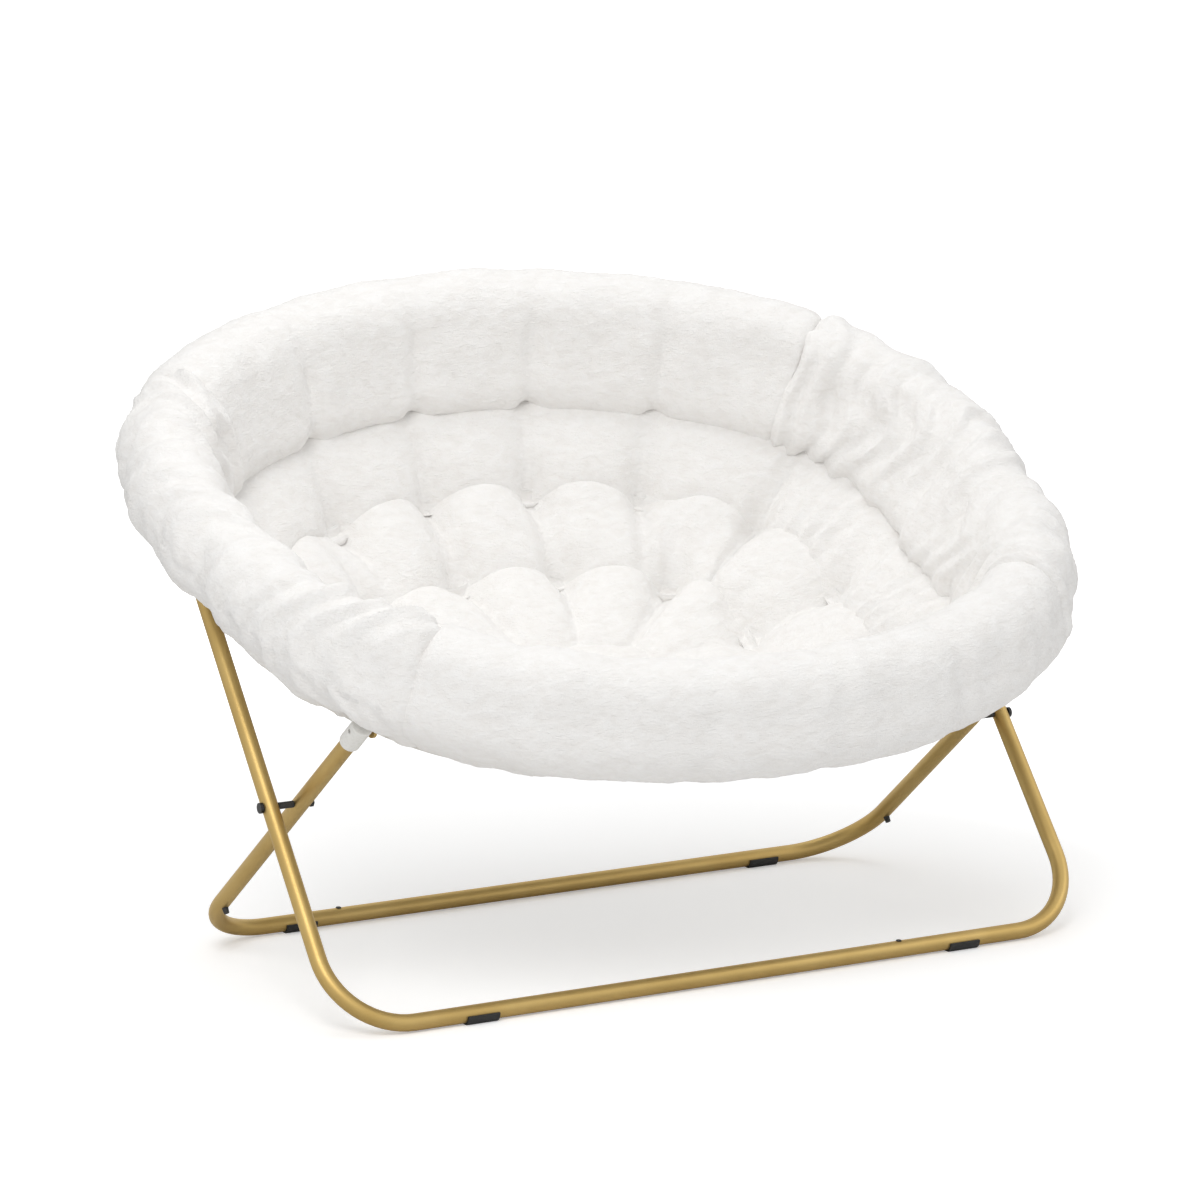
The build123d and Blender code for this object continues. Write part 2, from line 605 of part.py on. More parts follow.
# ---------------------------------------------------------------- bowl cushion, in two folding halves
BACK_EDGE = HINGE_S + HALF_GAP / 2
FRONT_EDGE = HINGE_S - HALF_GAP / 2
FLOOR_INNER = min(BACK_CORNER_R, FRONT_CORNER_R) - CORNER_MARGIN
front_side = Plane(origin=(0, *from_rim(FRONT_EDGE, 0)), z_dir=(0, -COS_T, -SIN_T))


def mirror_x(point, rim):
    """A section point (inset, height) on the side of the local X axis that faces into the bowl."""
    return (point[0] * rim.facing, point[1])


def row_outline(rim, outer, inner):
    """Section of one padded row: crowned above, its sides drawn in, lying on the sling below."""
    middle = (outer + inner) / 2
    top_out = mirror_x(bowl_point(outer + ROW_GAP / 2, CHANNEL), rim)
    top_in = mirror_x(bowl_point(inner - ROW_GAP / 2, CHANNEL), rim)
    low_out = mirror_x(bowl_point(outer + ROW_GAP / 2, PAD_T), rim)
    low_in = mirror_x(bowl_point(inner - ROW_GAP / 2, PAD_T), rim)
    return Face(Wire([
        Edge.make_three_point_arc(top_out, mirror_x(bowl_point(middle, -CROWN), rim), top_in),
        Edge.make_line(top_in, low_in),
        Edge.make_three_point_arc(low_in, mirror_x(bowl_point(middle, PAD_T), rim), low_out),
        Edge.make_line(low_out, top_out),
    ]))


def tuft_cuts(rim, start_s, inset):
    """Dimples along a seam of the cushion, about one pitch apart and alike on both sides."""
    centre_inset, centre_h = bowl_point(inset, CHANNEL + TUFT_SINK - TUFT_R)
    seam = rim.line(start_s, centre_inset, centre_h).edges()
    route = Wire(seam)
    count = int(route.length / TUFT_PITCH)
    for step in range(count):
        with Locations(route.position_at((step + 0.5) / count)):
            Sphere(TUFT_R, mode=Mode.SUBTRACT)


def trim_to_half(rim):
    if rim.facing < 0:
        split(bisect_by=front_side, keep=Keep.TOP)


def make_row(name, rim, start_s, outer, inner, roll=None):
    """One crowned row of half the cushion, dimpled along both its seams."""
    room = roll_room(rim, roll) if roll else None
    with BuildPart() as row:
        with BuildSketch(rim.section(start_s)):
            add(row_outline(rim, outer, inner))
            if roll:
                add(room, mode=Mode.SUBTRACT)
        sweep(path=rim.line(start_s))
        tuft_cuts(rim, start_s, inner)
        if not roll:
            tuft_cuts(rim, start_s, outer)
        trim_to_half(rim)
    save(row, name)
    return row.part


upper_row_back = make_row("upper_row_back", back_rim, BACK_EDGE, UPPER_ROW_AT, LOWER_ROW_AT, BACK_ROLL)
upper_row_front = make_row("upper_row_front", front_rim, 0, UPPER_ROW_AT, LOWER_ROW_AT, FRONT_ROLL)
make_row("lower_row_back", back_rim, BACK_EDGE, LOWER_ROW_AT, FLOOR_AT)
make_row("lower_row_front", front_rim, 0, LOWER_ROW_AT, FLOOR_AT)


seam_x, seam_s = front_rim.corner_point(SEAM_FRONT_DEG)
seam_across, seam_along = front_rim.heading(SEAM_FRONT_DEG)
backwards = Vector(-seam_across, -seam_along * COS_T, -seam_along * SIN_T)
with BuildPart() as sleeve:
    with BuildSketch(rim_section(Vector(seam_x, *from_rim(seam_s, 0)), backwards)):
        roll_outline(back_rim, *BACK_ROLL)
    sweep(path=sleeve_line())
    cut_tube_channel(back_tube, HINGE_S - RIM_PAST_HINGE)
    cut_tube_channel(front_tube, 0)
    cut_leg_slot(front_leg)
    cut_leg_slot(rear_leg)
    cut_tab_slot(BACK_PIVOT, BACK_TAB_S, BACK_TAB_X, BACK_PIVOT_IN - NUT_T, BACK_PIVOT_OUT + BOLT_HEAD_T)
    cut_tab_slot(FRONT_PIVOT, FRONT_TAB_S, FRONT_TAB_X, FRONT_TAB_X - BOLT_HEAD_T, FRONT_TAB_X + TAB_T)
    add(upper_row_back, mode=Mode.SUBTRACT)
    add(upper_row_front, mode=Mode.SUBTRACT)
    rod(HINGE_IN - NUT_T - SLOT_CLEAR, HINGE_OUT + BOLT_HEAD_T + SLOT_CLEAR, HINGE,
        HINGE_SPACER_R + SLOT_CLEAR, Mode.SUBTRACT)
save(sleeve, "rim_sleeve_right")

with BuildPart() as left_sleeve:
    mirror(sleeve.part, about=Plane.YZ)
save(left_sleeve, "rim_sleeve_left")


with BuildPart() as seat_pad_back:
    low_edge = bowl_point(FLOOR_AT + ROW_GAP / 2, PAD_T)
    side_edge = bowl_point(FLOOR_AT + ROW_GAP / 2, CHANNEL)
    top_edge = bowl_point(FLOOR_AT + FLOOR_CROWN_IN, 0)
    sole = (FLOOR_INNER, bowl_point(FLOOR_INNER, PAD_T)[1])
    levels = (sole, low_edge, side_edge, top_edge)
    loft([back_rim.shape(BACK_EDGE, inset, height) for inset, height in levels], ruled=True)
    with Locations(Vector(0, *from_rim((BACK_REACH - FRONT_REACH) / 2, BOWL_R - BOWL_DEPTH))):
        Sphere(BOWL_R, mode=Mode.SUBTRACT)
    tuft_s = BACK_REACH - FLOOR_AT - FLOOR_ROW_DEPTH
    tuft_h = TUFT_R - BOWL_DEPTH - TUFT_SINK
    for s, first_x in ((tuft_s, TUFT_PITCH / 2), (tuft_s - FLOOR_ROW_DEPTH, TUFT_PITCH)):
        with Locations(*[Vector(x, *from_rim(s, tuft_h)) for x in (-first_x - TUFT_PITCH, -first_x,
                                                                    first_x, first_x + TUFT_PITCH)]):
            Sphere(TUFT_R, mode=Mode.SUBTRACT)
save(seat_pad_back, "seat_pad_back")

with BuildPart() as seat_pad_front:
    with BuildSketch(front_rim.section(0)):
        with BuildLine():
            Polyline([mirror_x(bowl_point(inset, sink), front_rim) for inset, sink in (
                (FLOOR_AT + ROW_GAP / 2, PAD_T),
                (FLOOR_AT + ROW_GAP / 2, CHANNEL),
                (FLOOR_AT + FLOOR_CROWN_IN, 0),
                (FLOOR_INNER, 0),
                (FLOOR_INNER, PAD_T),
            )], close=True)
        make_face()
    sweep(path=front_rim.line(0))
    split(bisect_by=front_side, keep=Keep.TOP)
save(seat_pad_front, "seat_pad_front")


# ---------------------------------------------------------------- fabric sling under the cushion
def make_sling(name, rim, start_s, roll):
    """Thin fabric bowl under the cushion, from beside the roll to the flat under the seat."""
    radius = BOWL_R + PAD_T + SLEEVE_GAP
    outer = asin((HALF_SPAN - SLING_START) / radius)
    inner = asin((HALF_SPAN - FLOOR_INNER) / radius)

    def at(angle, r):
        return mirror_x((HALF_SPAN - r * sin(angle), BOWL_R - BOWL_DEPTH - r * cos(angle)), rim)

    room = roll_room(rim, roll)
    with BuildPart() as sling:
        with BuildSketch(rim.section(start_s)):
            with BuildLine():
                ThreePointArc(at(outer, radius), at((outer + inner) / 2, radius), at(inner, radius))
                Line(at(inner, radius), at(inner, radius + SLING_T))
                ThreePointArc(at(inner, radius + SLING_T), at((outer + inner) / 2, radius + SLING_T),
                              at(outer, radius + SLING_T))
                Line(at(outer, radius + SLING_T), at(outer, radius))
            make_face()
            add(room, mode=Mode.SUBTRACT)
        sweep(path=rim.line(start_s))
        top = at(inner, radius)[1]
        flat = rim.shape(start_s, FLOOR_INNER - SLING_LAP, top - SLING_T)
        extrude(flat, amount=SLING_T, dir=(0, -SIN_T, COS_T))
        trim_to_half(rim)
    save(sling, name)


make_sling("sling_back", back_rim, BACK_EDGE, BACK_ROLL)
make_sling("sling_front", front_rim, 0, FRONT_ROLL)
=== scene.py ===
"""Looks of the two-seat folding saucer chair: white faux fur over a hinged oval rim, on gold tube legs.

Metres, in the row frame: +X to the sitter's left, +Y to the back, +Z up, the floor at z = 0.
"""

import json
from math import cos, pi, radians, sin

import bpy
import numpy as np
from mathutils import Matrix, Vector, noise


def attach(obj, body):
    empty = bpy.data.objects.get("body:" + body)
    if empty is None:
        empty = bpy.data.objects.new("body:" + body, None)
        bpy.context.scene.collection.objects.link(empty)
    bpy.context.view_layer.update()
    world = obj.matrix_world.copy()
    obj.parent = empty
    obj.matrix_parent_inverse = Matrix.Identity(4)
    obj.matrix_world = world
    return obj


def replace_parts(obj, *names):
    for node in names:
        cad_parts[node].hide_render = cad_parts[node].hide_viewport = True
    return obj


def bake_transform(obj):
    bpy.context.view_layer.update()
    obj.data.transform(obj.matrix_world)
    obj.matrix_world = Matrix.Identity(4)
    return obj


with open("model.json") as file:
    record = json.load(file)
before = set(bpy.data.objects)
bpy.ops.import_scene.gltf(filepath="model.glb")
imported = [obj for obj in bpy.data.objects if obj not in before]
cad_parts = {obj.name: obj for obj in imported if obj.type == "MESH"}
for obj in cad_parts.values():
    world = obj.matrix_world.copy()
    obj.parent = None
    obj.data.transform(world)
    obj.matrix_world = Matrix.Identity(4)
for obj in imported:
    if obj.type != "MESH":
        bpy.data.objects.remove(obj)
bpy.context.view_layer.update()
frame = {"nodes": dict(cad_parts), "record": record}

# ---------------------------------------------------------------- sizes, the same as in the part
RIM_Y = -0.02214              # rim's reference point, seen from the side
RIM_Z = 0.561
TILT = radians(24.0)
BACK_RIM = (0.577, 0.370, radians(63.0), 0.520)      # half-width, corner radius, corner angle, reach
FRONT_RIM = (0.560, 0.400, radians(66.0), 0.474)
STEP_START = -0.040           # the side's half-width steps from the front size to the back size
STEP_LENGTH = 0.100
BOWL_DEPTH = 0.262
HALF_SPAN = (BACK_RIM[3] + FRONT_RIM[3]) / 2
BOWL_R = (HALF_SPAN ** 2 + BOWL_DEPTH ** 2) / (2 * BOWL_DEPTH)
PAD_T = 0.038
CHANNEL = 0.016
CROWN = 0.012
UPPER_ROW_AT = 0.082          # rows of the cushion, measured in from the rim
LOWER_ROW_AT = 0.180
SEAT_ROW_AT = 0.300
FLOOR_AT = 0.435
SEAT_MIDDLE_S = 0.023
MIDDLE_NARROWS = (0.49, 0.69)               # share lost across and along, on the way to the seat's middle
SLING_AT = 0.062
SLING_T = 0.003
SLING_GAP = 0.0004
SLING_FRONT_IN = 0.030        # its front edge keeps that much further in, out of sight
BACK_ROLL = ((0.0, 0.0, 0.061), (0.058, -0.076, 0.042))     # circles: in, up, radius
FRONT_ROLL = ((0.0, 0.0, 0.057), (0.015, 0.038, 0.057), (0.058, -0.076, 0.032))
SECTION_CENTRE = (0.022, -0.028)            # in and up: the middle of a roll's section
ROLL_GIRTH = 0.52
BACK_SEAM = radians(42.0)     # seams of the gathered side sleeves, as angles round the rim corners
FRONT_SEAM = radians(44.0)
FRONT_RAISE = 0.034           # the cushion swells up behind the front roll
RAISE_FROM, RAISE_RISE = 0.03, 0.06         # the swell starts this far in, and is full after that much
RAISE_TO, RAISE_FALL = 0.36, 0.14           # it ends here, after falling over that much
SEAM_LAP = 0.009              # rows press this far into their neighbours
ROLL_LAP = 0.010              # and rolls this far
SEAM_SHOULDER = 0.024         # a roll dips towards its end seam, over this length
SEAM_DIP = 0.17
END_SHUT = 0.3                # share of the section left at the very end

TUFT_COLUMNS = (0.0775, 0.232, 0.365)      # tufts stand in lines up the bowl, this far to each side
LOW_TUFT_COLUMNS = (0.0775, 0.225)
SIDE_TUFT_S = 0.040           # and one at each side
SCALLOP = 0.013               # how far a seam swings between its tufts
SCALLOP_MIDDLE = 0.4          # share of the swing that lies below the seam's own line
SIDE_CALM = 0.6               # share of the swing lost at the sides, on the low seam
SEAM_SHRINK = 0.62            # inset at which a seam's length would come down to nothing
DIMPLE = 0.019                # depth and spread of the pull at a tuft
DIMPLE_SPREAD = 0.030
VALLEY = 0.014                # creases that run up the rows from the tufts
VALLEY_HALF = 0.014
VALLEY_FAR = 0.45             # share of a crease left at the row's far seam
FULLNESS = 0.016              # the rows swell between two creases
TOP_ROUND = 0.75              # powers that round a row's section: its top, and its underside
UNDER_ROUND = 0.6
ROW_GIRTH = 2.3               # a row's girth, as a share of its width and thickness together
SIDE_GATHER = 0.0045          # the upper row is gathered at the sides: rise and spacing
SIDE_GATHER_PITCH = 0.046
FLOOR_SLACK = 0.009           # the seat's slack folds
FLOOR_LAP = 0.030             # the seat's middle runs this far under the seat row
FLOOR_THIN = 0.008            # and is thinner than the rows by this much

FRONT_DENTS = np.array([0.13, 0.37, 0.55, 0.74, 0.90])      # shallow creases, as shares of the front roll
FRONT_DENT = (0.0045, 0.018)                # their depth and half-width
BACK_DENT = (0.013, 0.018)                  # those of the back roll's, which stand over the tufts
GATHER = 0.0062               # the side sleeves' ridges: rise and spacing
GATHER_PITCH = 0.060
FINE_GATHER = 0.41            # spacing of the fine ridges between them, as a share of the pitch
BROAD_GATHER = 0.115          # spacing of the broad lumps under them
GATHER_END = 0.05             # they grow stronger over this length at each end

FUR_PITCH = 0.0048            # spacing of the fur's points
CLUMP = 0.012                 # size of the pile's clumps
CLUMP_RISE = 0.0009
LUMP, LUMP_RISE = 0.085, 0.0045             # the stuffing's broad and small lumps: size and rise
SMALL_LUMP, SMALL_LUMP_RISE = 0.034, 0.0018

AZIMUTH = radians(29.39)      # the photograph's camera
ELEVATION = radians(11.486)
DISTANCE = 7.2521
TARGET = Vector((-0.0419, -0.0460, 0.4651))
SENSOR = 36.0
LENS = 166.1
FLOOR_GLOW = 0.30             # white that the eye sees added to the floor near the chair
GLOW_FROM, GLOW_FULL = 0.8, 1.9             # distances over which it grows to full white
WORLD_LIGHT = 0.54


# ---------------------------------------------------------------- the rim's line and the bowl under it
def half_rim(rim, facing, count=60):
    """Points (x, s) and outward normal angles of a half rim, from the right side to the left."""
    half, corner_r, corner, reach = rim
    end_r = (half - corner_r * (1 - cos(corner))) / cos(corner)
    side_run = reach - corner_r * sin(corner) - end_r * (1 - sin(corner))
    turn = np.linspace(0, pi / 2, count)
    round_corner = turn <= corner
    near = half - corner_r * (1 - np.cos(turn))
    far = half - corner_r * (1 - cos(corner)) - end_r * (cos(corner) - np.cos(turn))
    near_s = side_run + corner_r * np.sin(turn)
    far_s = side_run + corner_r * sin(corner) + end_r * (np.sin(turn) - sin(corner))
    x = np.where(round_corner, near, far)
    s = facing * np.where(round_corner, near_s, far_s)
    left = slice(-2, None, -1)
    x, s = np.concatenate([x, -x[left]]), np.concatenate([s, s[left]])
    turn = np.concatenate([turn, pi - turn[left]]) * facing
    return x, s, turn


def smooth(t):
    t = np.clip(t, 0, 1)
    return t * t * (3 - 2 * t)


def closed_rim():
    """The whole rim as arrays over a share u from 0 to 1, from the middle of the front and to the right."""
    bx, bs, bt = half_rim(BACK_RIM, 1)
    fx, fs, ft = half_rim(FRONT_RIM, -1)
    middle = len(fx) // 2
    side_s = np.linspace(STEP_START, STEP_START + STEP_LENGTH, 20)
    side_x = FRONT_RIM[0] + (BACK_RIM[0] - FRONT_RIM[0]) * smooth((side_s - STEP_START) / STEP_LENGTH)
    flat = np.zeros(len(side_s))
    x = np.concatenate([fx[middle::-1], side_x, bx, -side_x[::-1], fx[:middle - 1:-1]])
    s = np.concatenate([fs[middle::-1], side_s, bs, side_s[::-1], fs[:middle - 1:-1]])
    turn = np.concatenate([ft[middle::-1], flat, bt, flat + pi, ft[:middle - 1:-1] + 2 * pi])
    length = np.concatenate([[0], np.cumsum(np.hypot(np.diff(x), np.diff(s)))])
    keep = np.concatenate([[True], np.diff(length) > 1e-6])
    return x[keep], s[keep], turn[keep], length[keep]


LINE_X, LINE_S, LINE_TURN, LINE_AT = closed_rim()
RIM_LENGTH = LINE_AT[-1]


def rim_at(u):
    """x, s and the outward normal's angle at a share u round the rim."""
    at = (np.asarray(u) % 1.0) * RIM_LENGTH
    return tuple(np.interp(at, LINE_AT, line) for line in (LINE_X, LINE_S, LINE_TURN))


def share_at_turn(turn):
    """The share u at which the rim's normal has turned that far: 0 is the right side, 90 degrees the back."""
    return float(np.interp(turn, LINE_TURN, LINE_AT)) / RIM_LENGTH


def to_frame(x, s, h):
    """Row-frame points from x, the distance along the rim plane and the height above it."""
    y = RIM_Y + s * cos(TILT) - h * sin(TILT)
    z = RIM_Z + s * sin(TILT) + h * cos(TILT)
    return np.stack([x, y, z], axis=-1)


def around_rim(u, inset, height):
    """Row-frame points beside the rim: in from its line, and above the rim plane."""
    x, s, turn = rim_at(u)
    return to_frame(x - inset * np.cos(turn), s - inset * np.sin(turn), height)


def on_bowl(u, inset, above):
    """Row-frame points over the bowl's surface, at an inset from the rim, lifted along its normal."""
    x, s, turn = rim_at(u)
    reach = np.clip(HALF_SPAN - inset, 0, HALF_SPAN)
    lean = reach / BOWL_R
    ring = np.minimum(inset, SEAT_ROW_AT) + above * lean
    x, s = x - ring * np.cos(turn), s - ring * np.sin(turn)
    past = np.clip((inset - SEAT_ROW_AT) / (FLOOR_AT - SEAT_ROW_AT), 0, 1)
    middle = np.clip((HALF_SPAN - inset) / (HALF_SPAN - FLOOR_AT), 0, 1)
    x = x * (1 - MIDDLE_NARROWS[0] * past) * middle
    s = SEAT_MIDDLE_S + (s - SEAT_MIDDLE_S) * (1 - MIDDLE_NARROWS[1] * past) * middle
    upright = np.sqrt(1 - lean ** 2)
    front = np.clip(-np.sin(turn), 0, 1)
    rise, fall = smooth((inset - RAISE_FROM) / RAISE_RISE), smooth((RAISE_TO - inset) / RAISE_FALL)
    raised = FRONT_RAISE * front * rise * fall
    height = BOWL_R - BOWL_DEPTH - BOWL_R * upright + above * upright + raised
    return to_frame(x, s, height)


# ---------------------------------------------------------------- shaping helpers
def deselect_all():
    if bpy.context.object and bpy.context.object.mode != "OBJECT":
        bpy.ops.object.mode_set(mode="OBJECT")
    bpy.ops.object.select_all(action="DESELECT")


def points_of(piece):
    co = np.zeros(len(piece.data.vertices) * 3)
    piece.data.vertices.foreach_get("co", co)
    return co.reshape(-1, 3)


def normals_of(piece):
    found = np.zeros(len(piece.data.vertices) * 3)
    piece.data.vertices.foreach_get("normal", found)
    return found.reshape(-1, 3)


def move_points(piece, points):
    piece.data.vertices.foreach_set("co", points.astype(np.float32).ravel())
    piece.data.update()


def closed_ring(name, around, across):
    """A torus primitive, with each point's share round it and its angle round the tube."""
    deselect_all()
    bpy.ops.mesh.primitive_torus_add(major_segments=around, minor_segments=across, major_radius=1.0,
                                     minor_radius=0.25)
    piece = bpy.context.object
    piece.name = name
    co = points_of(piece)
    share = (np.arctan2(co[:, 1], co[:, 0]) / (2 * pi)) % 1.0
    angle = np.arctan2(co[:, 2], np.hypot(co[:, 0], co[:, 1]) - 1.0)
    return piece, share, angle


def closed_bolster(name, along, across):
    """A sphere primitive, with each point's share from pole to pole and its angle round the axis."""
    deselect_all()
    bpy.ops.mesh.primitive_uv_sphere_add(segments=across, ring_count=along, radius=1.0)
    piece = bpy.context.object
    piece.name = name
    co = points_of(piece)
    share = np.arccos(np.clip(co[:, 2], -1, 1)) / pi
    angle = np.arctan2(co[:, 1], co[:, 0])
    return piece, share, angle


def face_outwards(piece):
    deselect_all()
    piece.select_set(True)
    bpy.context.view_layer.objects.active = piece
    bpy.ops.object.mode_set(mode="EDIT")
    bpy.ops.mesh.select_all(action="SELECT")
    bpy.ops.mesh.normals_make_consistent(inside=False)
    bpy.ops.object.mode_set(mode="OBJECT")
    bpy.ops.object.shade_smooth()


def rumple(points, size, seed):
    """Smooth noise from -1 to 1 over the points, with lumps of that size."""
    offset = Vector((seed * 3.1, seed * 1.7, seed * 2.3))
    return np.array([noise.noise(Vector(p) / size + offset) for p in points])


def raise_pile(piece):
    """Lets the stuffing and the pile show: broad and smaller lumps, and small clumps of fur."""
    points = points_of(piece)
    broad = rumple(points, LUMP, 1) * LUMP_RISE + rumple(points, SMALL_LUMP, 4) * SMALL_LUMP_RISE
    clumps = rumple(points, CLUMP, 2) * CLUMP_RISE + rumple(points, CLUMP * 0.5, 3) * CLUMP_RISE * 0.6
    move_points(piece, points + normals_of(piece) * (broad + clumps)[:, None])


def bend_at_fold(piece):
    """Bakes the piece's placement into its points; the piece is not bent between the hoops."""
    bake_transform(piece)


# ---------------------------------------------------------------- rolls and side sleeves
def roll_section(circles, angle):
    """The point (in, up) of the circles' common outline whose normal has each angle, evenly spaced."""
    dense = np.linspace(-pi, pi, 721)
    normal = np.stack([np.cos(dense), np.sin(dense)], axis=-1)
    reach = np.array([normal @ np.array(c[:2]) + c[2] for c in circles])
    chosen = np.array(circles)[reach.argmax(axis=0)]
    outline = chosen[:, :2] + chosen[:, 2:3] * normal
    at = np.concatenate([[0], np.cumsum(np.hypot(*np.diff(outline, axis=0).T))])
    wanted = (angle / (2 * pi) + 0.5) * at[-1]
    return np.interp(wanted, at, outline[:, 0]), np.interp(wanted, at, outline[:, 1])


def end_round(distance):
    """Share of the full section at a distance from an end: a soft shoulder, shut at the very end."""
    t = np.clip(distance / SEAM_SHOULDER, 0, 1)
    return np.where(distance > 0, 1 - SEAM_DIP * (1 - t) ** 2, END_SHUT)


def shape_roll(piece, share, angle, start, end, section_of, fold_of):
    """Lays a bolster along the rim from share start to end, its section and its folds given by functions."""
    start = start - ROLL_LAP / RIM_LENGTH
    end = end + ROLL_LAP / RIM_LENGTH
    length = (end - start) * RIM_LENGTH
    u = start + (end - start) * share
    inset, height = section_of(share, angle)
    fold = fold_of(share * length, angle, length)
    centre_in, centre_up = SECTION_CENTRE
    full = end_round(np.minimum(share, 1 - share) * length)
    out_in, out_up = inset - centre_in, height - centre_up
    far = np.hypot(out_in, out_up)
    scale = full * (1 + fold / np.maximum(far, 0.02))
    move_points(piece, around_rim(u, centre_in + out_in * scale, centre_up + out_up * scale))


def seam_dents(at, places, depth, width):
    """Shallow valleys across a roll at the given places."""
    return -sum(depth * np.exp(-((at - place) / width) ** 2) for place in places)


def gathers(at, angle, length, height, pitch, seed):
    """Creases of a gathered sleeve: uneven ridges round the roll, strongest near its ends and on top.

    The bare numbers only keep the ridges from lining up, and have no meaning of their own.
    """
    drift = 0.34 * np.sin(angle * 2 + seed) + 0.26 * np.sin(angle * 3.3 + at * 21 + seed * 2)
    wave = np.sin((at / pitch + drift) * 2 * pi + 1.6 * np.sin(at * 17 + seed))
    sharp = np.sign(wave) * np.abs(wave) ** 0.8
    fine = np.sin((at / (pitch * FINE_GATHER) + 1.9 * drift) * 2 * pi + seed)
    inner = 0.55 + 0.2 * np.cos(angle - 0.9)
    patchy = 0.5 + 0.5 * np.sin(at * 11.0 + angle * 1.3 + seed * 1.9)
    broad = np.sin(at / BROAD_GATHER * 2 * pi + seed * 3 + 0.8 * np.sin(angle))
    near_end = 1 + 0.5 * np.exp(-np.minimum(at, length - at) / GATHER_END)
    return height * near_end * (sharp * inner * (0.7 + 0.5 * patchy) + 0.3 * fine * patchy + 0.5 * broad)


def make_rolls():
    around = int(ROLL_GIRTH / FUR_PITCH)
    back_start = share_at_turn(BACK_SEAM)
    back_end = share_at_turn(pi - BACK_SEAM)
    front_right = share_at_turn(-FRONT_SEAM)
    front_left = share_at_turn(pi + FRONT_SEAM)

    length = (back_end - back_start) * RIM_LENGTH
    roll, share, angle = closed_bolster("back_roll", int(length / FUR_PITCH), around)
    dents = [(u - back_start) * RIM_LENGTH for u in UPPER_TUFTS if back_start < u < back_end]
    shape_roll(roll, share, angle, back_start, back_end,
               lambda t, a: roll_section(BACK_ROLL, a),
               lambda at, a, full: seam_dents(at, dents, *BACK_DENT) * smooth(0.66 + 0.5 * np.cos(a + 0.5)))
    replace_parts(finish_padding(roll), "rim_roll_back")
    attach(roll, "rear_hoop")

    length = (1 - front_left + front_right) * RIM_LENGTH
    roll, share, angle = closed_bolster("front_roll", int(length / FUR_PITCH), around)
    shape_roll(roll, share, angle, front_left, 1 + front_right,
               lambda t, a: roll_section(FRONT_ROLL, a),
               lambda at, a, full: seam_dents(at, FRONT_DENTS * full, *FRONT_DENT))
    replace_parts(finish_padding(roll), "rim_roll_front")
    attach(roll, "front_hoop")

    for name, start, end, back_first, seed in (
        ("side_sleeve_right", front_right, back_start, False, 0.4),
        ("side_sleeve_left", back_end, front_left, True, 2.6),
    ):
        length = (end - start) * RIM_LENGTH
        sleeve, share, angle = closed_bolster(name, int(length / FUR_PITCH), around)

        def section_of(t, a, back_first=back_first):
            front_in, front_up = roll_section(FRONT_ROLL, a)
            back_in, back_up = roll_section(BACK_ROLL, a)
            to_back = smooth((1 - t if back_first else t) / 0.45)
            return front_in + (back_in - front_in) * to_back, front_up + (back_up - front_up) * to_back

        shape_roll(sleeve, share, angle, start, end, section_of,
                   lambda at, a, full, seed=seed: gathers(at, a, full, GATHER, GATHER_PITCH, seed))
        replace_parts(finish_padding(sleeve), name.replace("side", "rim"))
        bend_at_fold(sleeve)


# ---------------------------------------------------------------- tufted rows and the seat
def tufts_on(seam, columns):
    """Shares round the rim of a seam's tufts: where it crosses the columns, and one at each side."""
    u = np.linspace(0, 1, 4001)
    x = on_bowl(u, np.full(len(u), seam), 0.0)[:, 0]
    s = rim_at(u)[1]
    crossings = [s - SIDE_TUFT_S] + [x - side * column for column in columns for side in (-1, 1)]
    return np.sort(np.concatenate([u[:-1][np.diff(np.sign(away)) != 0] for away in crossings]))


UPPER_TUFTS = tufts_on(LOWER_ROW_AT, TUFT_COLUMNS)        # between the upper and the lower row
LOWER_TUFTS = tufts_on(SEAT_ROW_AT, LOW_TUFT_COLUMNS)     # between the lower and the seat row


def between_tufts(u, tufts, seam):
    """Distance along a seam to its nearest tuft, and a share from 0 at a tuft to 1 half-way to the next."""
    after = np.searchsorted(tufts, u % 1.0) % len(tufts)
    before = after - 1
    gap = (tufts[after] - tufts[before]) % 1.0
    share = ((u - tufts[before]) % 1.0) / gap
    along = RIM_LENGTH * np.clip(1 - seam / SEAM_SHRINK, 0.3, 1)
    return np.minimum(share, 1 - share) * gap * along, np.sin(share * pi)


def seam_line(u, seam, tufts):
    """Inset of a seam: low at each tuft, and swung up between two."""
    if tufts is None:
        return np.full(len(u), seam)
    calm = 1 - SIDE_CALM * np.abs(np.cos(rim_at(u)[2])) ** 2 * (seam > LOWER_ROW_AT)
    return seam + SCALLOP * calm * (SCALLOP_MIDDLE - between_tufts(u, tufts, seam)[1])


